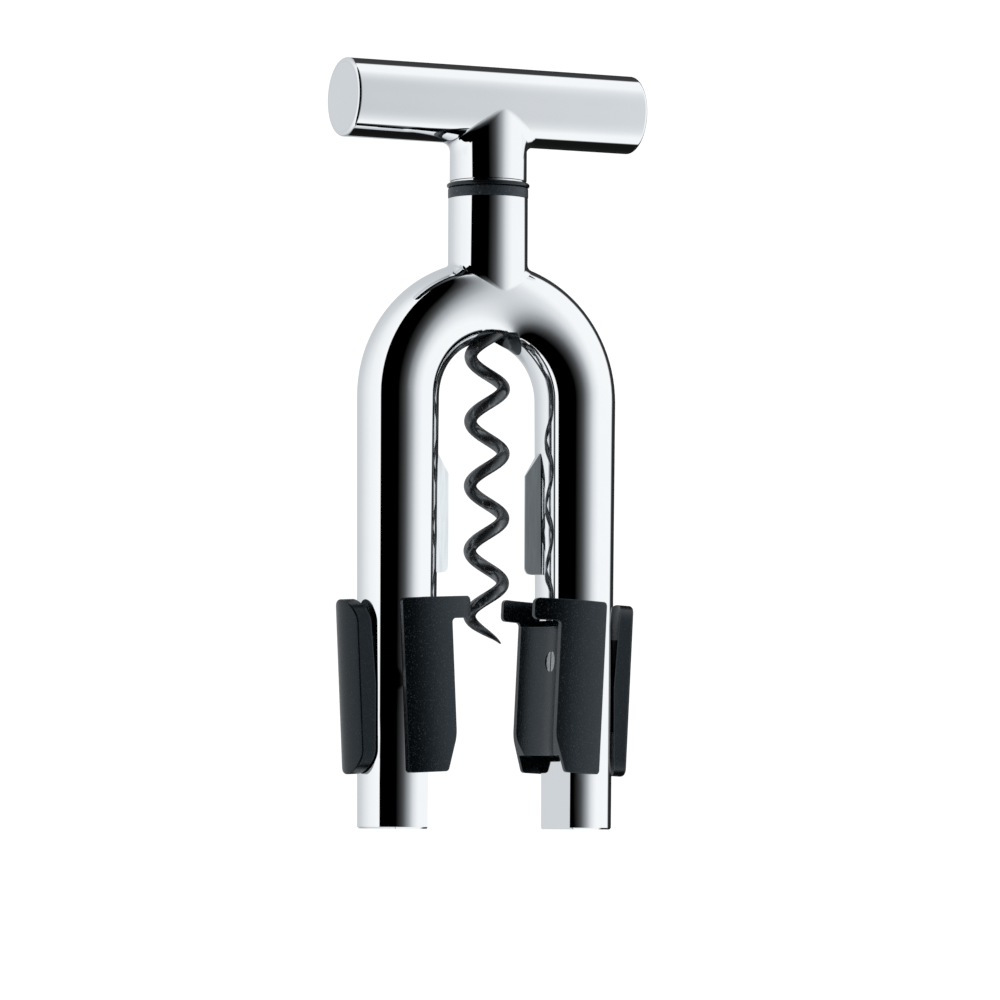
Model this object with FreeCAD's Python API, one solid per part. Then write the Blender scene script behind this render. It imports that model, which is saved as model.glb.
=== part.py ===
import FreeCAD
import Part
import math
import os

V = FreeCAD.Vector
UP = V(0, 0, 1)

# Frame: the worm turns on +Z, the legs stand on z = 0 to either side along X. Millimetres.
LEG_X = 21.2
LEG_R_FOOT = 8.2
TUBE_R = 8.8
SPRING_Z = 92.6
NECK_R = 8.62
NECK_TOP = 136.1
NECK_FILLET = 1.6
FOOT_EDGE = 0.35

# The inner side of each leg: a flat above the foot, a deeper pocket behind the jaw, a shoulder on the lip
FLAT_X = 16.9
POCKET_X = 18.0
POCKET_BOTTOM = 14.6
SHOULDER_Z = 45.0
SLOT_HALF_Y = 3.5
SLOT_BOTTOM = 18.5
SLOT_TOP = 43.5
CUTTER = 12.0

# Bore of the neck, its two bushes and the shaft that turns in them
BORE_R = 5.5
SHAFT_R = 3.5
RUNNING_GAP = 0.05
FLANGE_R = 8.7
FLANGE_TOP = 138.45
COLLAR_SLEEVE_BOTTOM = 123.0
LOWER_BUSH_BOTTOM = 110.6
LOWER_BUSH_TOP = 121.0
BUSH_FLANGE_R = 7.4
BUSH_FLANGE_TOP = 106.9
BUSH_SKIRT_R = 5.9
BUSH_SKIRT_TOP = 111.6
WASHER_THICK = 0.8
SHAFT_TOP = 154.0
HEAD_R = 5.2
HEAD_BOTTOM = 106.6
HEAD_TOP = 109.6
HEAD_EDGE = 0.8
HEAD_CLEAR = 0.1
FLANGE_EDGE = 0.4
WASHER_R = 5.1

# T-handle
BAR_Z = 156.35
BAR_R = 8.5
BAR_LENGTH = 69.2
BAR_WALL = 0.9
BAR_EDGE = 0.7
CAP_THICK = 2.4
CAP_DEPTH = 18.0
STEM_R = 8.35
STEM_BOTTOM = 139.8
STEM_EDGE = 0.25
SPIGOT_R = 8.0
STEM_FILLET = 2.5
RING_WIRE_R = 0.48
RING_R = 8.5

# Worm: right-handed helix
WORM_R = 3.57
WIRE_R = 1.38
PITCH = 14.0
WORM_TOP = 108.3
WORM_TIP = 40.0
WORM_PHASE = 154.3
WORM_PHASE_Z = 101.9
TAPER_TURNS = 0.45
TIP_SHARE = 0.12
TIP_SECTIONS = 7

# Blades that stop the cork from turning
FIN_X = 9.15
FIN_EDGE_HALF_Y = 0.2
FIN_ROOT_HALF_Y = 1.3
FIN_BOTTOM = 55.0
FIN_SHOULDER = 76.3
FIN_TOP = 81.3
FIN_ROOT_X = 14.6
FIN_CORNER = 1.5

# Clips: drawn upright, then leaned about the pivot so that the jaws close towards their lower ends
PIVOT_Z = 31.0
LEAN = 2.8
PIN_R = 1.5
PIN_HALF = 8.1
JAW_BOTTOM = 11.9
JAW_TOP = 49.1
JAW_OUTER_X = 23.5
JAW_INNER_X = 12.3
JAW_LEAD_IN_X = 14.8
JAW_LEAD_IN_Z = 19.4
JAW_FACE_R = 19.1
JAW_FACE_CENTRE = (16.6, 8.1)
JAW_WALL = 1.0
WING_REACH_Y = 3.0
HOOK_X = 6.85
HOOK_BOTTOM = 44.4
HOOK_ROUND = 1.1
JAW_ROUND = 0.9
LEAD_IN_ROUND = 9.0
WEB_BOTTOM = 15.6
WEB_TOP = 43.6
WEB_X = 16.9
THROAT_R = 15.3
PAD_HALF_Y = 5.2
PAD_BOTTOM = 12.05
PAD_TOP = 49.35
PAD_INNER_X = 28.2
PAD_EDGE_X = 32.0
PAD_CREST_X = 33.9
PAD_EDGE = 0.4
CHANNEL_R = 8.85
SWING = 5.0
TONGUE_X = 31.2
LEVER_X = 16.5
LEVER_HALF_Y = 3.1
LEVER_BOTTOM = 21.5
LEVER_TOP = 41.5
WINDOW_HALF_X = 3.4
WINDOW_HALF_Y = 1.7
WINDOW_BOTTOM = 27.8
WINDOW_TOP = 40.0
SPRING_WIRE_R = 0.3
SPRING_R = 2.15
SPRING_PITCH = 0.68
SPRING_TURNS = 3
SPRING_ARM = 5.0
SPRING_STUB = 2.6
SCREW_R = 1.25
SCREW_HEAD_R = 2.3
JAW_SCREW_Z = 36.0
JAW_SCREW_HEAD_X = 15.35
JAW_SCREW_SEAT_X = 16.0
JAW_SCREW_END_X = 20.4
DRIVER_DEPTH = 0.25


def cylinder(radius, bottom, top, x=0.0, y=0.0):
    """Upright cylinder between two heights."""
    return Part.makeCylinder(radius, top - bottom, V(x, y, bottom), UP)


def cross_cylinder(radius, x0, x1, z, y=0.0):
    """Cylinder lying along X."""
    return Part.makeCylinder(radius, x1 - x0, V(x0, y, z), V(1, 0, 0))


def block(x0, x1, half_y, z0, z1):
    """Box that is symmetric about the plane y = 0."""
    return Part.makeBox(x1 - x0, 2 * half_y, z1 - z0, V(x0, -half_y, z0))


def rounded_outline(half_y, z0, z1, x0, x1):
    """Slab with full-round ends, standing in the YZ plane between x0 and x1."""
    body = block(x0, x1, half_y, z0 + half_y, z1 - half_y)
    for z in (z0 + half_y, z1 - half_y):
        body = body.fuse(cross_cylinder(half_y, x0, x1, z))
    return body.removeSplitter()


def edges_where(shape, test):
    """Edges whose middle point satisfies a test."""
    found = []
    for edge in shape.Edges:
        middle = edge.valueAt((edge.FirstParameter + edge.LastParameter) / 2)
        if test(middle, edge):
            found.append(edge)
    return found


def one_solid(shape):
    """The single solid of a cleaned shape."""
    clean = shape.removeSplitter()
    solids = clean.Solids
    if len(solids) != 1:
        raise ValueError("expected one solid, found %d" % len(solids))
    return solids[0]


def mirrored(shape):
    """The same piece for the leg at negative X."""
    return shape.mirror(V(0, 0, 0), V(1, 0, 0))


def lean(shape):
    """Lean an upright clip piece about its pivot."""
    leaned = shape.copy()
    leaned.rotate(V(LEG_X, 0, PIVOT_Z), V(0, 1, 0), LEAN)
    return leaned


# Frame -------------------------------------------------------------------------------------------

def half_ring():
    """The round bar of the frame, bent to a half circle above the springing height."""
    section = Part.Face(Part.Wire(Part.makeCircle(TUBE_R, V(LEG_X, 0, SPRING_Z), UP)))
    return section.revolve(V(0, 0, SPRING_Z), V(0, -1, 0), 180)


def bush_recess():
    """Room for the flange of the lower bush and for the skirt above it."""
    wide = cylinder(BUSH_FLANGE_R, SPRING_Z, BUSH_FLANGE_TOP)
    return wide.fuse(cylinder(BUSH_SKIRT_R, SPRING_Z, BUSH_SKIRT_TOP))


def frame_arch():
    """Half ring on two tapering legs with the neck on its crown, cut for the shaft and the clips."""
    body = half_ring()
    neck = cylinder(NECK_R, SPRING_Z + LEG_X, NECK_TOP)
    body = one_solid(body.fuse(neck))
    joint = edges_where(body, lambda p, e: NECK_R - 1 < math.hypot(p.x, p.y) < NECK_R + 1
                        and SPRING_Z + LEG_X < p.z < NECK_TOP - 1)
    body = body.makeFillet(NECK_FILLET, joint)
    for side in (-1, 1):
        leg = Part.makeCone(LEG_R_FOOT, TUBE_R, SPRING_Z, V(side * LEG_X, 0, 0), UP)
        foot = edges_where(leg, lambda p, e: p.z < 0.01)
        leg = leg.makeChamfer(FOOT_EDGE, foot)
        body = body.fuse(leg)
    body = body.removeSplitter()
    for cut in leg_cuts():
        body = body.cut(cut).cut(mirrored(cut))
    body = body.cut(bush_recess())
    return one_solid(body.cut(cylinder(BORE_R, LOWER_BUSH_BOTTOM, NECK_TOP + 1)))


def leg_cuts():
    """What is milled out of the leg at positive X for the bottle neck, the clip and the fin."""
    flat = block(LEG_X - CUTTER, FLAT_X, CUTTER, -1, POCKET_BOTTOM)
    pocket = block(LEG_X - CUTTER, POCKET_X, CUTTER, POCKET_BOTTOM, SHOULDER_Z)
    slot = block(LEG_X - CUTTER, LEG_X + CUTTER, SLOT_HALF_Y, SLOT_BOTTOM, SLOT_TOP)
    pin_bore = Part.makeCylinder(PIN_R, 2 * CUTTER, V(LEG_X, -CUTTER, PIVOT_Z), V(0, 1, 0))
    return [flat, pocket, slot, pin_bore, fin_blank(0.0)]


def fin_blank(edge_round):
    """Wedge-shaped blade in the plane y = 0 on the inner side of the leg at positive X."""
    corners = [(FIN_ROOT_X, FIN_BOTTOM), (FIN_X, FIN_BOTTOM), (FIN_X, FIN_SHOULDER),
               (LEG_X - TUBE_R, FIN_TOP), (FIN_ROOT_X, FIN_TOP)]
    points = [V(x, -FIN_ROOT_HALF_Y, z) for x, z in corners]
    outline = Part.Face(Part.makePolygon(points + points[:1]))
    slab = outline.extrude(V(0, 2 * FIN_ROOT_HALF_Y, 0))
    if edge_round:
        corner = edges_where(slab, lambda p, e: abs(p.x - FIN_X) < 0.01 and p.z < FIN_BOTTOM + 0.01)
        slab = slab.makeFillet(edge_round, corner)
    wedge = [(FIN_X, -FIN_EDGE_HALF_Y), (FIN_X, FIN_EDGE_HALF_Y),
             (FIN_ROOT_X, FIN_ROOT_HALF_Y), (FIN_ROOT_X, -FIN_ROOT_HALF_Y)]
    base = [V(x, y, FIN_BOTTOM) for x, y in wedge]
    section = Part.Face(Part.makePolygon(base + base[:1]))
    return section.extrude(V(0, 0, FIN_TOP - FIN_BOTTOM)).common(slab)


def neck_collar():
    """Flanged bush: a thin flange shows on top of the neck, the sleeve is pressed into the bore."""
    flange = cylinder(FLANGE_R, NECK_TOP, FLANGE_TOP)
    rims = edges_where(flange, lambda p, e: math.hypot(p.x, p.y) > 1 and e.Length > 20)
    flange = flange.makeFillet(FLANGE_EDGE, rims)
    sleeve = cylinder(BORE_R, COLLAR_SLEEVE_BOTTOM, NECK_TOP + 0.5)
    bore = cylinder(SHAFT_R + RUNNING_GAP, COLLAR_SLEEVE_BOTTOM - 1, FLANGE_TOP + 1)
    return one_solid(flange.fuse(sleeve).cut(bore))


def lower_bush():
    """Bush at the crown end of the bore; its flange is let in flush with the inside of the half ring."""
    flange = bush_recess().common(half_ring())
    flange = flange.cut(cylinder(HEAD_R + HEAD_CLEAR, SPRING_Z, LOWER_BUSH_BOTTOM))
    sleeve = cylinder(BORE_R, LOWER_BUSH_BOTTOM, LOWER_BUSH_TOP)
    return one_solid(flange.fuse(sleeve).cut(cylinder(SHAFT_R + RUNNING_GAP, SPRING_Z, NECK_TOP)))


def pivot_pin():
    """Pin pressed across the leg, ends flush with the tube."""
    return Part.makeCylinder(PIN_R, 2 * PIN_HALF, V(LEG_X, -PIN_HALF, PIVOT_Z), V(0, 1, 0))


# Spindle -----------------------------------------------------------------------------------------

def t_handle():
    """Cross bar and stem in one piece, cored from both ends of the bar, bored for the shaft.

    A short spigot under the stem carries the rubber ring."""
    bar = cross_cylinder(BAR_R, -BAR_LENGTH / 2, BAR_LENGTH / 2, BAR_Z)
    spigot = cylinder(SPIGOT_R, FLANGE_TOP + RUNNING_GAP, BAR_Z)
    body = one_solid(bar.fuse(cylinder(STEM_R, STEM_BOTTOM, BAR_Z)).fuse(spigot))
    joint = edges_where(body, lambda p, e: abs(p.x) < STEM_R + 1 and STEM_BOTTOM + 2 < p.z)
    body = body.makeFillet(STEM_FILLET, joint)
    ends = edges_where(body, lambda p, e: abs(p.x) > BAR_LENGTH / 2 - 0.01)
    body = body.makeFillet(BAR_EDGE, ends)
    lip = edges_where(body, lambda p, e: abs(p.z - STEM_BOTTOM) < 0.01
                      and math.hypot(p.x, p.y) > STEM_R - 0.01)
    body = body.makeFillet(STEM_EDGE, lip)
    for side in (-1, 1):
        reach = sorted((side * (BAR_LENGTH / 2 - CAP_DEPTH), side * (BAR_LENGTH / 2 + 1)))
        body = body.cut(cross_cylinder(BAR_R - BAR_WALL, reach[0], reach[1], BAR_Z))
    return one_solid(body.cut(cylinder(SHAFT_R, FLANGE_TOP, SHAFT_TOP)))


def end_cap():
    """Disc set flush into the end of the bar at positive X."""
    outer = BAR_LENGTH / 2
    return cross_cylinder(BAR_R - BAR_WALL, outer - CAP_THICK, outer, BAR_Z)


def spindle_shaft():
    """Shaft pressed into the stem; its head under the lower bush has a socket for the worm."""
    head = cylinder(HEAD_R, HEAD_BOTTOM, HEAD_TOP)
    rim = edges_where(head, lambda p, e: p.z < HEAD_BOTTOM + 0.01)
    head = head.makeFillet(HEAD_EDGE, rim)
    shaft = cylinder(SHAFT_R, HEAD_TOP - 0.5, SHAFT_TOP)
    return one_solid(head.fuse(shaft).cut(worm_wire()))


def helix_point(z):
    """Centre of the worm's wire at a height."""
    turn = math.radians(WORM_PHASE) + 2 * math.pi * (z - WORM_PHASE_Z) / PITCH
    return V(WORM_R * math.cos(turn), WORM_R * math.sin(turn), z)


def worm_wire():
    """Helix of round wire, drawn to a point over its last part turn."""
    taper = PITCH * TAPER_TURNS
    height = WORM_TOP - WORM_TIP - taper
    helix = Part.makeHelix(PITCH, height, WORM_R)
    start = helix_point(WORM_TIP + taper)
    helix.rotate(V(0, 0, 0), UP, math.degrees(math.atan2(start.y, start.x)))
    helix.translate(V(0, 0, WORM_TIP + taper))
    edge = helix.Edges[0]
    along = edge.tangentAt(edge.FirstParameter)
    profile = Part.Wire(Part.makeCircle(WIRE_R, edge.valueAt(edge.FirstParameter), along))
    body = Part.Wire(helix).makePipeShell([profile], True, True)
    point = Part.makeLoft(point_sections(taper), True)
    return body.fuse(point)


def point_sections(taper):
    """Shrinking circles along the last part turn, ending at the sharp tip."""
    sections = []
    for step in range(TIP_SECTIONS + 1):
        share = step / TIP_SECTIONS
        z = WORM_TIP + taper * (1 - share)
        along = (helix_point(z + 0.01) - helix_point(z - 0.01)).normalize()
        radius = WIRE_R * (1 - (1 - TIP_SHARE) * share ** 1.5)
        sections.append(Part.Wire(Part.makeCircle(radius, helix_point(z), along)))
    return sections


def worm():
    """The worm as one solid."""
    return one_solid(worm_wire())


def o_ring():
    """Rubber ring round the spigot of the stem, just clear of the collar."""
    return Part.makeTorus(RING_R, RING_WIRE_R, V(0, 0, FLANGE_TOP + RUNNING_GAP + RING_WIRE_R), UP)


def thrust_washer():
    """Steel washer between the head of the shaft and the lower bush."""
    under = HEAD_TOP + RUNNING_GAP
    ring = cylinder(WASHER_R, under, under + WASHER_THICK)
    return ring.cut(cylinder(SHAFT_R + RUNNING_GAP, HEAD_TOP - 1, LOWER_BUSH_TOP))


# Clips -------------------------------------------------------------------------------------------

def face_arc(radius, bottom, top):
    """Upright cylinder under the bulging front face of a jaw (front is negative Y)."""
    x, y = JAW_FACE_CENTRE
    return cylinder(radius, bottom, top, x, y)


def jaw_side_outline():
    """Front view of a jaw wing: hook at the top, straight inner edge, lead-in at the bottom."""
    corners = [(HOOK_X, JAW_TOP), (JAW_OUTER_X, JAW_TOP), (JAW_OUTER_X, JAW_BOTTOM),
               (JAW_LEAD_IN_X, JAW_BOTTOM), (JAW_INNER_X, JAW_LEAD_IN_Z),
               (JAW_INNER_X, HOOK_BOTTOM), (HOOK_X, HOOK_BOTTOM)]
    rounds = [HOOK_ROUND, JAW_ROUND, JAW_ROUND, JAW_ROUND, LEAD_IN_ROUND, JAW_ROUND, HOOK_ROUND]
    points = [V(x, -JAW_FACE_R, z) for x, z in corners]
    depth = 2 * JAW_FACE_R
    face = Part.Face(Part.makePolygon(points + points[:1]))
    slab = face.extrude(V(0, depth, 0))
    for (x, z), radius in zip(corners, rounds):
        corner = edges_where(slab, lambda p, e: abs(p.y) < 0.01 and abs(e.Length - depth) < 0.01
                             and math.hypot(p.x - x, p.z - z) < 0.05)
        slab = slab.makeFillet(radius, corner)
    return slab


def jaw():
    """Two bulging wings before and behind the leg, joined by a web hollowed for the bottle neck."""
    lens = face_arc(JAW_FACE_R, JAW_BOTTOM, JAW_TOP)
    hollow = face_arc(JAW_FACE_R - JAW_WALL, JAW_BOTTOM, JAW_TOP)
    front = Part.makeBox(JAW_FACE_R * 2, JAW_FACE_R, JAW_TOP, V(0, -JAW_FACE_R - WING_REACH_Y, 0))
    wing = lens.cut(hollow).common(front)
    back = wing.mirror(V(0, 0, 0), V(0, 1, 0))
    wings = wing.fuse(back).common(jaw_side_outline())
    inside = hollow.common(hollow.mirror(V(0, 0, 0), V(0, 1, 0)))
    web = block(JAW_INNER_X - 1, WEB_X, CUTTER, WEB_BOTTOM, WEB_TOP).common(inside)
    web = web.cut(cylinder(THROAT_R, 0, JAW_TOP)).common(jaw_side_outline())
    recess = block(LEVER_X, WEB_X + 2, LEVER_HALF_Y, LEVER_BOTTOM, LEVER_TOP)
    hole = cross_cylinder(SCREW_R, 0, LEG_X, JAW_SCREW_Z)
    head = cross_cylinder(SCREW_HEAD_R, 0, JAW_SCREW_SEAT_X, JAW_SCREW_Z)
    return one_solid(lean(wings.fuse(web).cut(recess).cut(hole).cut(head)))


def lever():
    """Steel web that rocks on the pin and carries the jaw inside and the pad outside the leg."""
    body = block(LEVER_X, TONGUE_X, LEVER_HALF_Y, LEVER_BOTTOM, LEVER_TOP)
    pin = Part.makeCylinder(PIN_R + RUNNING_GAP, 2 * CUTTER, V(LEG_X, -CUTTER, PIVOT_Z), V(0, 1, 0))
    window = block(LEG_X - WINDOW_HALF_X, LEG_X + WINDOW_HALF_X, WINDOW_HALF_Y, WINDOW_BOTTOM, WINDOW_TOP)
    tapped = cross_cylinder(SCREW_R, 0, JAW_SCREW_END_X, JAW_SCREW_Z)
    for cut in (pin, window, tapped):
        body = body.cut(cut)
    return one_solid(lean(body))


def pad():
    """Thumb pad, crowned across its width and hollowed along the leg so that it can rock on it."""
    slab = rounded_outline(PAD_HALF_Y, PAD_BOTTOM, PAD_TOP, PAD_INNER_X, PAD_CREST_X + 1)
    rise = PAD_CREST_X - PAD_EDGE_X
    crown = (PAD_HALF_Y ** 2 + rise ** 2) / (2 * rise)
    slab = slab.common(cylinder(crown, PAD_BOTTOM - 1, PAD_TOP + 1, PAD_CREST_X - crown))
    slab = one_solid(slab)
    outer = edges_where(slab, lambda p, e: p.x > PAD_EDGE_X - 0.3)
    slab = slab.makeFillet(PAD_EDGE, outer)
    for angle in (-LEAN, SWING - LEAN):
        channel = cylinder(CHANNEL_R, 0, 2 * PIVOT_Z, LEG_X)
        channel.rotate(V(LEG_X, 0, PIVOT_Z), V(0, 1, 0), angle)
        slab = slab.cut(channel)
    socket = block(PAD_INNER_X, TONGUE_X + RUNNING_GAP, LEVER_HALF_Y + RUNNING_GAP,
                   LEVER_BOTTOM - RUNNING_GAP, LEVER_TOP + RUNNING_GAP)
    return one_solid(lean(slab.cut(socket)))


def jaw_screw():
    """Cheese-head screw through the web of the jaw into the lever."""
    shank = cross_cylinder(SCREW_R, JAW_SCREW_HEAD_X, JAW_SCREW_END_X, JAW_SCREW_Z)
    head = cross_cylinder(SCREW_HEAD_R - 0.1, JAW_SCREW_HEAD_X, JAW_SCREW_SEAT_X, JAW_SCREW_Z)
    half_slot = 0.3
    driver = block(JAW_SCREW_HEAD_X - 1, JAW_SCREW_HEAD_X + DRIVER_DEPTH, half_slot,
                   JAW_SCREW_Z - SCREW_HEAD_R, JAW_SCREW_Z + SCREW_HEAD_R)
    return one_solid(lean(head.fuse(shank).cut(driver)))


def return_spring():
    """Torsion spring on the pivot pin inside the window of the lever, with two straight arms."""
    helix = Part.makeHelix(SPRING_PITCH, SPRING_PITCH * SPRING_TURNS, SPRING_R)
    edge = helix.Edges[0]
    first, last = edge.FirstParameter, edge.LastParameter
    profile = Part.Wire(Part.makeCircle(SPRING_WIRE_R, edge.valueAt(first), edge.tangentAt(first)))
    spring = Part.Wire(helix).makePipeShell([profile], True, True)
    lower_arm = Part.makeCylinder(SPRING_WIRE_R, SPRING_ARM, edge.valueAt(first), -edge.tangentAt(first))
    upper_arm = Part.makeCylinder(SPRING_WIRE_R, SPRING_STUB, edge.valueAt(last), edge.tangentAt(last))
    spring = spring.fuse(lower_arm).fuse(upper_arm)
    spring.rotate(V(0, 0, 0), V(1, 0, 0), -90)
    spring.translate(V(LEG_X, -SPRING_PITCH * SPRING_TURNS / 2, PIVOT_Z))
    return spring.Solids[0]


def write(name, shape):
    """Export one node."""
    if not shape.isValid():
        raise ValueError(name + " is not a valid solid")
    shape.exportStep("parts/%s.step" % name)


def build():
    """Every node of the corkscrew, by name."""
    nodes = {
        "frame_arch": frame_arch(),
        "neck_collar": neck_collar(),
        "lower_bush": lower_bush(),
        "t_handle": t_handle(),
        "spindle_shaft": spindle_shaft(),
        "worm": worm(),
        "o_ring": o_ring(),
        "thrust_washer": thrust_washer(),
    }
    pairs = {
        "cork_fin": fin_blank(FIN_CORNER),
        "pivot_pin": pivot_pin(),
        "end_cap": end_cap(),
        "jaw": jaw(),
        "lever": lever(),
        "pad": pad(),
        "jaw_screw": jaw_screw(),
        "return_spring": return_spring(),
    }
    for name, shape in pairs.items():
        nodes[name + "_right"] = shape
        nodes[name + "_left"] = mirrored(shape)
    return nodes


os.makedirs("parts", exist_ok=True)
for node, solid in build().items():
    write(node, solid)
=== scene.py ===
import math

import bmesh
import bpy
from mathutils import Matrix, Vector

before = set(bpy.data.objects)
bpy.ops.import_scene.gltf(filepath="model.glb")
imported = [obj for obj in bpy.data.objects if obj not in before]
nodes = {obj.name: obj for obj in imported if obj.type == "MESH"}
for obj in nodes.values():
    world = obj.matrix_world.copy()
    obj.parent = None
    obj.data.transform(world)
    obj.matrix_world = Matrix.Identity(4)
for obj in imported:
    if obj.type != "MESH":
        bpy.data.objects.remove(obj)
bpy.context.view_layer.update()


# Camera ------------------------------------------------------------------------------------------
# A long lens stands a little above the floor, to the left of the front, and looks slightly up, so
# that the arch towers and the left end of the handle shows its flat face.
view_angle = math.radians(-25.7)
toward_camera = Vector((math.sin(view_angle), -math.cos(view_angle), 0))
screen_right = Vector((math.cos(view_angle), math.sin(view_angle), 0))
camera_distance = 1.22
eye_height = 0.0015
aim_height = 0.0709
aim_right = 0.0029
tilt = math.radians(0.28)

lens = bpy.data.cameras.new("long_lens")
lens.lens = 203.8
lens.sensor_width = 36
lens.clip_start = 0.01
camera = bpy.data.objects.new("camera", lens)
bpy.context.scene.collection.objects.link(camera)
eye = toward_camera * camera_distance + Vector((0, 0, eye_height))
aim = screen_right * aim_right + Vector((0, 0, aim_height))
turn = (aim - eye).to_track_quat("-Z", "Y").to_matrix().to_4x4()
camera.matrix_world = Matrix.Translation(eye) @ turn @ Matrix.Rotation(tilt, 4, "Z")
bpy.context.scene.camera = camera
bpy.context.scene.view_settings.view_transform = "Standard"


# Studio ------------------------------------------------------------------------------------------
# A white sweep, large soft panels to the left and to the right, and a dark gap between them behind
# the camera. The bright metal shows all of it, so the panels are given as a light tent of directions.
class Shade:
    """One shader value. Arithmetic on it adds Math nodes to its tree."""

    def __init__(self, tree, socket=None):
        self.tree = tree
        self.socket = socket

    def node(self, kind, settings=None, inputs=None, output=0):
        """A node with its settings, then its inputs as values or other shades; returns one output."""
        made = self.tree.nodes.new(kind)
        for name, value in (settings or {}).items():
            if name == "stops":
                elements = made.color_ramp.elements
                elements.remove(elements[1])
                elements[0].position = value[0][0]
                elements[0].color = (*value[0][1], 1)
                for place, colour in value[1:]:
                    elements.new(place).color = (*colour, 1)
            else:
                setattr(made, name, value)
        for name, value in (inputs or {}).items():
            if isinstance(value, Shade):
                self.tree.links.new(value.socket, made.inputs[name])
            else:
                made.inputs[name].default_value = value
        return Shade(self.tree, made.outputs[output])

    def maths(self, operation, *values, clamp=False):
        """A Math node on values or shades."""
        return self.node("ShaderNodeMath", {"operation": operation, "use_clamp": clamp},
                         dict(enumerate(values)))

    def __add__(self, other):
        return self.maths("ADD", self, other)

    def __sub__(self, other):
        return self.maths("SUBTRACT", self, other)

    def __mul__(self, other):
        return self.maths("MULTIPLY", self, other)

    def __truediv__(self, other):
        return self.maths("DIVIDE", self, other)

    def __pow__(self, other):
        return self.maths("POWER", self, other)

    def __radd__(self, other):
        return self.maths("ADD", other, self)

    def __rsub__(self, other):
        return self.maths("SUBTRACT", other, self)

    def __rmul__(self, other):
        return self.maths("MULTIPLY", other, self)

    def dot(self, vector):
        """How far two directions agree, from -1 to 1."""
        return self.node("ShaderNodeVectorMath", {"operation": "DOT_PRODUCT"},
                         {0: self, 1: vector}, output=1)

    def clamped(self):
        """The shade kept between 0 and 1."""
        return self.maths("MULTIPLY", self, 1, clamp=True)

    def between(self, low, high):
        """0 below low, 1 above high, smooth between."""
        return self.node("ShaderNodeMapRange", {"interpolation_type": "SMOOTHSTEP"},
                         {"Value": self, "From Min": low, "From Max": high})

    def mixed(self, first, second):
        """Colour between two colours, with this shade as the factor."""
        return self.node("ShaderNodeMix", {"data_type": "RGBA"},
                         {0: self, 6: first, 7: second}, output=2)


def grey(level):
    """Linear light of a display grey from 0 to 255, slightly cool in the middle of the scale."""
    display = level / 255
    toe_end, toe_slope, lift, gamma = 0.04, 12.92, 0.055, 2.4
    linear = ((display + lift) / (1 + lift)) ** gamma if display > toe_end else display / toe_slope
    most_cool = 0.055
    cool = most_cool * 4 * display * (1 - display)
    return (linear * (1 - cool), linear, linear * (1 + cool))


half_turn = 180
full_turn = 360


def ring(degrees):
    """Place on the light ring of a direction, in degrees to the right of the camera's own."""
    return (degrees + half_turn) / full_turn


# Greys of the tent, by degrees to the right of the camera's own direction. Chrome gives back about
# 0.93 of the light, so the tent is that much brighter.
mirror_gain = 1 / 0.93
left_panel = [(-180, 196), (-146, 203), (-123, 212), (-108, 225), (-94, 234), (-82, 241),
              (-55, 247), (-49.2, 247), (-48.2, 0)]
right_panel = [(2, 0), (7, 27), (12, 42), (18, 60), (24, 83), (29, 110), (35, 140), (41, 165),
               (47, 193), (54, 218), (60, 229), (67, 240), (75, 246), (180, 247)]
seam_from, seam_to = -20, -19

# The gap's right edge leans to the right, high up and low down.
gap_side_from, gap_side_to = -10, 20
gap_lean = 12
gap_lean_at = 50

# Behind the object the tent is darker below the horizon.
behind_grey = 128
behind_from, behind_to = 132, 168
low_from, low_to = 5, 38

# A dark flag at the right rear, with a leaning, curved front edge.
flag_grey_low, flag_grey_high = 20, 62
flag_bottom, flag_top = -50, 70
flag_edge = 128
flag_lean = 0.145
flag_fan = 0.265
flag_soft_front, flag_soft_back = -3, 7

world = bpy.data.worlds.new("studio")
world.use_nodes = True
world.node_tree.nodes.clear()
sky = Shade(world.node_tree)
direction = sky.node("ShaderNodeTexCoord", output="Generated")
side = direction.dot(screen_right)
front = direction.dot(toward_camera)
height = direction.dot((0, 0, 1)).maths("ARCSINE", direction.dot((0, 0, 1))) * math.degrees(1)
bearing = sky.maths("ARCTAN2", side, front) * math.degrees(1)
right_side = bearing.between(gap_side_from, gap_side_to)
lifted = bearing - right_side * gap_lean * (height / gap_lean_at) ** 2
left_ring = sky.node("ShaderNodeValToRGB",
                     {"stops": [(ring(a), grey(g)) for a, g in left_panel]},
                     {"Fac": ring(bearing)})
right_ring = sky.node("ShaderNodeValToRGB",
                      {"stops": [(ring(a), grey(g)) for a, g in right_panel]},
                      {"Fac": ring(lifted)})
tent = bearing.between(seam_from, seam_to).mixed(left_ring, right_ring)
behind = bearing.maths("ABSOLUTE", bearing).between(behind_from, behind_to)
low = (0 - height).between(low_from, low_to)
tent = (behind * low).mixed(tent, (*grey(behind_grey), 1))
flag_line = flag_edge + height * flag_lean + height.maths("ABSOLUTE", height) * flag_fan
flag = (bearing - flag_line).between(flag_soft_front, flag_soft_back)
flag_colour = height.between(flag_bottom, flag_top).mixed((*grey(flag_grey_low), 1),
                                                          (*grey(flag_grey_high), 1))
tent = flag.mixed(tent, flag_colour)
seen = sky.node("ShaderNodeLightPath", output="Is Camera Ray")
shown = seen.mixed(tent, (1, 1, 1, 1))
light = sky.node("ShaderNodeBackground", None, {"Color": shown, "Strength": mirror_gain})
out = world.node_tree.nodes.new("ShaderNodeOutputWorld")
world.node_tree.links.new(light.socket, out.inputs["Surface"])
bpy.context.scene.world = world

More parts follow.
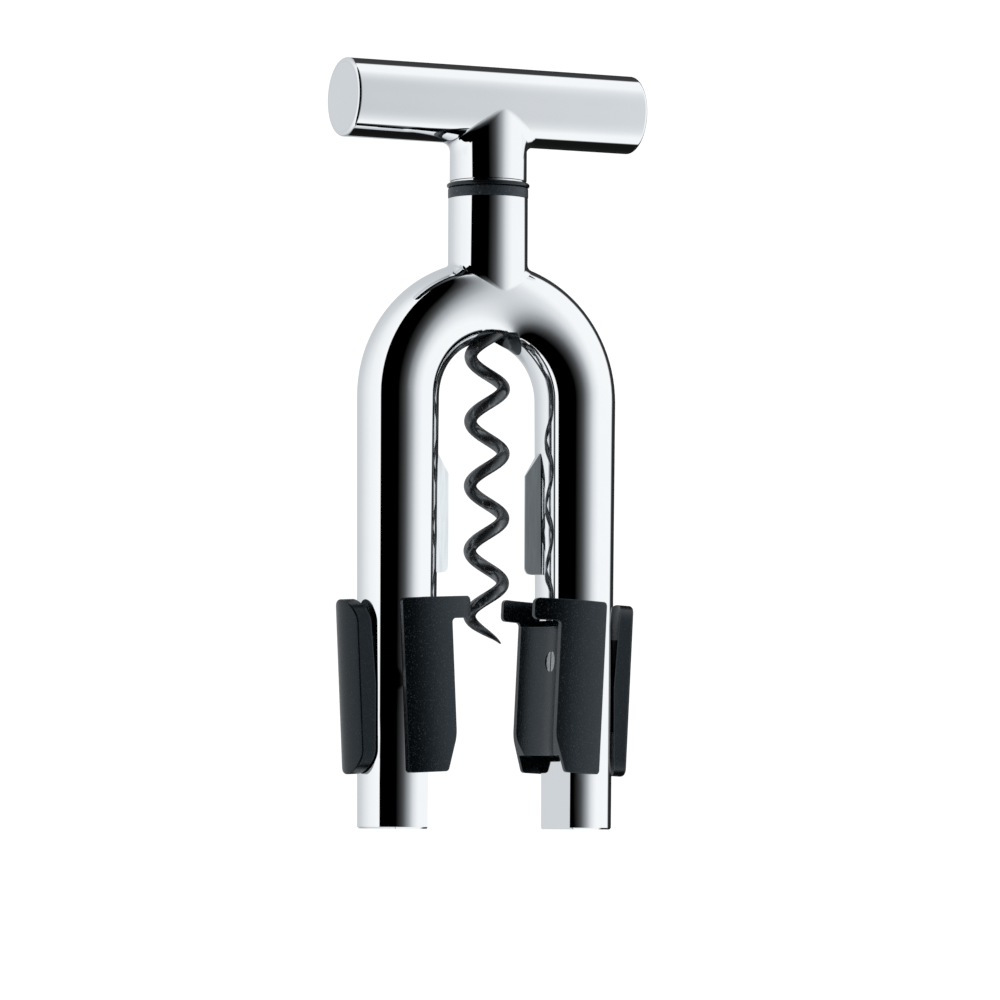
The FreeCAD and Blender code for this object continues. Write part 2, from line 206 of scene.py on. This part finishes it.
floor_span = 6.0
floor_drop = 0.0001
floor_colour = (0.86, 0.87, 0.88, 1)
floor_glow = 0.57
floor_mesh = bpy.data.meshes.new("floor")
floor_shape = bmesh.new()
bmesh.ops.create_grid(floor_shape, x_segments=1, y_segments=1, size=floor_span)
floor_shape.to_mesh(floor_mesh)
floor_shape.free()
floor = bpy.data.objects.new("floor", floor_mesh)
bpy.context.scene.collection.objects.link(floor)
floor.location.z = -floor_drop
floor.visible_glossy = False
pale = bpy.data.materials.new("pale_floor")
pale.use_nodes = True
floor_shader = pale.node_tree.nodes["Principled BSDF"]
floor_shader.inputs["Base Color"].default_value = floor_colour
floor_shader.inputs["Roughness"].default_value = 1
floor_shader.inputs["Specular IOR Level"].default_value = 0
floor_shader.inputs["Emission Color"].default_value = (1, 1, 1, 1)
floor_shader.inputs["Emission Strength"].default_value = floor_glow
floor.data.materials.append(pale)


# Frame arch --------------------------------------------------------------------------------------
# One chrome-plated die casting: the half ring, the two legs and the neck. It is ground and buffed
# before plating, so it is a mirror with a very faint polish, a little duller along worn edges.
def finish_of(name, metallic=0.0, **constants):
    """A new material; returns its shade and its shader node."""
    made = bpy.data.materials.new(name)
    made.use_nodes = True
    shader = made.node_tree.nodes["Principled BSDF"]
    shader.inputs["Metallic"].default_value = metallic
    for socket, value in constants.items():
        shader.inputs[socket.replace("_", " ")].default_value = value
    return made, Shade(made.node_tree), shader


def lead(shader, **sources):
    """Join shades to a shader's sockets."""
    for socket, shade in sources.items():
        shade.tree.links.new(shade.socket, shader.inputs[socket.replace("_", " ")])


def noise(root, scale, detail=2.0, stretch=(1, 1, 1), roughness=0.5):
    """Noise of about one swell per 1/scale of a metre."""
    place = root.node("ShaderNodeTexCoord", output="Object")
    place = root.node("ShaderNodeMapping", None, {"Vector": place, "Scale": stretch})
    return root.node("ShaderNodeTexNoise", None,
                     {"Vector": place, "Scale": scale, "Detail": detail, "Roughness": roughness})


def edge_mask(root, radius):
    """1 along sharp edges, 0 on open faces."""
    rounded = root.node("ShaderNodeBevel", {"samples": 6}, {"Radius": radius})
    plain = root.node("ShaderNodeNewGeometry", output="Normal")
    turned = 1 - rounded.dot(plain)
    flat_turn, sharp_turn = 0.01, 0.16
    return turned.between(flat_turn, sharp_turn)


def bumped(root, relief, depth):
    """Surface relief from a shade of heights, as deep as a depth in metres."""
    return root.node("ShaderNodeBump", None, {"Height": relief, "Distance": depth, "Strength": 1})


def chrome(name, polish_direction):
    """Bright chrome plating with faint buffing marks along one direction."""
    made, root, shader = finish_of(name, metallic=1.0)
    haze = noise(root, scale=55, detail=4)
    marks = noise(root, scale=900, detail=3, stretch=polish_direction)
    specks = noise(root, scale=2600, detail=1).between(0.72, 0.80)
    worn = edge_mask(root, radius=0.0005)
    plate_dark = (0.905, 0.925, 0.940)
    plate_light = (0.925, 0.940, 0.950)
    plate_worn = (0.80, 0.81, 0.80)
    plate = haze.between(0.3, 0.7).mixed((*plate_dark, 1), (*plate_light, 1))
    mirror, haze_share, marks_share, speck_share, worn_share = 0.012, 0.018, 0.012, 0.05, 0.06
    lead(shader,
         Base_Color=(worn * 0.5).mixed(plate, (*plate_worn, 1)),
         Roughness=mirror + haze.between(0.45, 0.8) * haze_share + marks.between(0.5, 0.8) * marks_share
         + specks * speck_share + worn * worn_share,
         Normal=bumped(root, marks * 0.5 + haze * 3, depth=0.0000015))
    return made


def dress(finish, *names):
    """Give CAD pieces their finish."""
    for name in names:
        nodes[name].material_slots[0].material = finish


casting_chrome = chrome("casting_chrome", (1, 1, 0.06))
dress(casting_chrome, "frame_arch")


# Handle ------------------------------------------------------------------------------------------
# A bar of the same chrome with its stem cast in one piece. The ends are closed by thin chrome discs
# that are pressed in flush, so that only a hairline shows round each.
handle_chrome = chrome("handle_chrome", (0.06, 1, 1))
dress(handle_chrome, "t_handle")
cap_chrome = chrome("cap_chrome", (1, 1, 1))
dress(cap_chrome, "end_cap_left", "end_cap_right")


# Collar, ring and lower bush -----------------------------------------------------------------------
# The collar is a flange of black moulded bearing plastic on top of the neck. A rubber ring sits just
# above it, round the spigot of the stem. The lower bush is smoother, let in flush under the crown.
def moulded(name, colour, wear_and_highlight_colour, roughness, grain, depth, sheen=1.56, painted_glint_share=0.3):
    """Spark-eroded black plastic: a fine, even grain that is worn smooth along the edges. Its lighter flecks
    are painted glints, and its lighter edges are partly wear, partly painted highlight.
    """
    made, root, shader = finish_of(name, IOR=sheen, Specular_Tint=(0.72, 0.88, 1.0, 1))
    texture = noise(root, scale=grain, detail=2.5, roughness=0.65)
    broad = noise(root, scale=90, detail=3)
    worn = edge_mask(root, radius=0.0005)
    glint_flecks = texture.between(0.57, 0.69)
    shaded = tuple(0.6 * part for part in colour)
    base = broad.between(0.3, 0.7).mixed((*shaded, 1), (*colour, 1))
    # Painted glints: lighter flecks of colour scattered through the grain.
    base = (glint_flecks * painted_glint_share).mixed(base, (*wear_and_highlight_colour, 1))
    lead(shader,
         # The lighter colour along the edges is partly wear, partly painted highlight.
         Base_Color=(worn * 0.4).mixed(base, (*wear_and_highlight_colour, 1)),
         Roughness=(roughness + (broad - 0.5) * 0.12 - worn * 0.08 - glint_flecks * 0.08).clamped(),
         Normal=bumped(root, texture * (1 - worn * 0.7), depth))
    return made


collar_plastic = moulded("collar_plastic", (0.020, 0.025, 0.030), (0.11, 0.125, 0.135),
                         roughness=0.38, grain=2800, depth=0.00006, painted_glint_share=0.7)
dress(collar_plastic, "neck_collar")
# Painted reflection: the bush's wide dark flange stands in for the dark reflection of the cork under the
# crown.
bush_plastic = moulded("bush_plastic", (0.004, 0.005, 0.006), (0.02, 0.022, 0.024),
                       roughness=0.12, grain=1800, depth=0.000004)
dress(bush_plastic, "lower_bush")
ring_rubber = moulded("ring_rubber", (0.004, 0.005, 0.006), (0.015, 0.017, 0.02),
                      roughness=0.26, grain=1500, depth=0.000006)
dress(ring_rubber, "o_ring")


# Shaft and worm ----------------------------------------------------------------------------------
# The shaft is blackened steel and hardly shows; its dark colour is also painted shade for the bore
# under the crown. The worm is steel wire wound to a right-hand screw, ground to a point and dipped in
# a dark non-stick coat that has run into glossy and dull patches.
def metal(name, colour, roughness, stretch, marks_scale):
    """Bare steel. Its brushing marks run along the axis with the smallest stretch value."""
    made, root, shader = finish_of(name, metallic=1.0)
    marks = noise(root, scale=marks_scale, detail=4, stretch=stretch, roughness=0.65)
    stain = noise(root, scale=160, detail=3)
    worn = edge_mask(root, radius=0.0004)
    dull = tuple(0.78 * part for part in colour)
    rubbed_steel = (0.86, 0.87, 0.88)
    base = marks.between(0.25, 0.75).mixed((*dull, 1), (*colour, 1))
    lead(shader,
         Base_Color=(worn * 0.6).mixed(base, (*rubbed_steel, 1)),
         Roughness=(roughness + (marks - 0.5) * 0.2 + (stain - 0.5) * 0.12 - worn * 0.05).clamped(),
         Normal=bumped(root, marks, depth=0.000006))
    return made


# Painted shade: the shaft's dark colour stands in for the shade in the bore under the crown.
shade_dark_turned_steel = metal("shade_dark_turned_steel", (0.09, 0.09, 0.095),
                     roughness=0.30, stretch=(1, 1, 12), marks_scale=700)
dress(shade_dark_turned_steel, "spindle_shaft", "thrust_washer")

coat, root, shader = finish_of("worm_coat", IOR=2.2, Specular_Tint=(0.90, 0.96, 1.0, 1))
coat_dull = (0.006, 0.006, 0.007, 1)
coat_glossy = (0.014, 0.015, 0.017, 1)
coat_scuff_and_highlight = (0.24, 0.25, 0.26, 1)
dull_roughness = 0.42
runs = noise(root, scale=330, detail=4, stretch=(1, 1, 0.6), roughness=0.55)
scuffs = noise(root, scale=1500, detail=4, stretch=(1, 1, 0.35), roughness=0.7)
gloss = runs.between(0.46, 0.60)
scuff_and_highlight = scuffs.between(0.54, 0.70)
# Light streaks where the coat is scuffed are partly wear, partly painted highlight.
coat_base = (scuff_and_highlight * gloss * 0.7).mixed(gloss.mixed(coat_dull, coat_glossy), coat_scuff_and_highlight)
lead(shader,
     Base_Color=coat_base,
     Roughness=(dull_roughness - gloss * 0.24 + (scuffs - 0.5) * 0.3).clamped(),
     Normal=bumped(root, runs * 0.5 + scuffs * 0.4, depth=0.00005))
dress(coat, "worm")


# Fins --------------------------------------------------------------------------------------------
# Two stamped stainless blades let into the inner sides of the legs: they bite the cork and keep it
# from turning with the worm.
blade_steel = metal("blade_steel", (0.88, 0.93, 0.96),
                    roughness=0.05, stretch=(1, 1, 0.08), marks_scale=900)
dress(blade_steel, "cork_fin_left", "cork_fin_right")


# Clips -------------------------------------------------------------------------------------------
# On each leg a steel lever rocks on a pin against a torsion spring. It carries the black jaw that
# grips the bottle's lip, and outside the leg the thumb pad, which is hollowed to rock along the leg.
jaw_plastic = moulded("jaw_plastic", (0.0010, 0.0018, 0.0024), (0.075, 0.095, 0.110),
                      roughness=0.20, grain=3700, depth=0.000036, sheen=1.52, painted_glint_share=0.50)
pad_plastic = moulded("pad_plastic", (0.0014, 0.0022, 0.0028), (0.060, 0.078, 0.090),
                      roughness=0.26, grain=3700, depth=0.000032, sheen=1.46, painted_glint_share=0.35)
lever_steel = metal("lever_steel", (0.50, 0.51, 0.53), roughness=0.30, stretch=(1, 8, 1), marks_scale=500)
pin_steel = metal("pin_steel", (0.60, 0.61, 0.62), roughness=0.20, stretch=(1, 1, 1), marks_scale=800)
screw_steel = metal("screw_steel", (0.42, 0.43, 0.45), roughness=0.28, stretch=(10, 1, 1), marks_scale=700)
spring_steel = metal("spring_steel", (0.40, 0.41, 0.43), roughness=0.24, stretch=(1, 1, 1), marks_scale=1200)
for side_name in ("left", "right"):
    dress(jaw_plastic, "jaw_" + side_name)
    dress(pad_plastic, "pad_" + side_name)
    dress(lever_steel, "lever_" + side_name)
    dress(pin_steel, "pivot_pin_" + side_name)
    dress(screw_steel, "jaw_screw_" + side_name)
    dress(spring_steel, "return_spring_" + side_name)
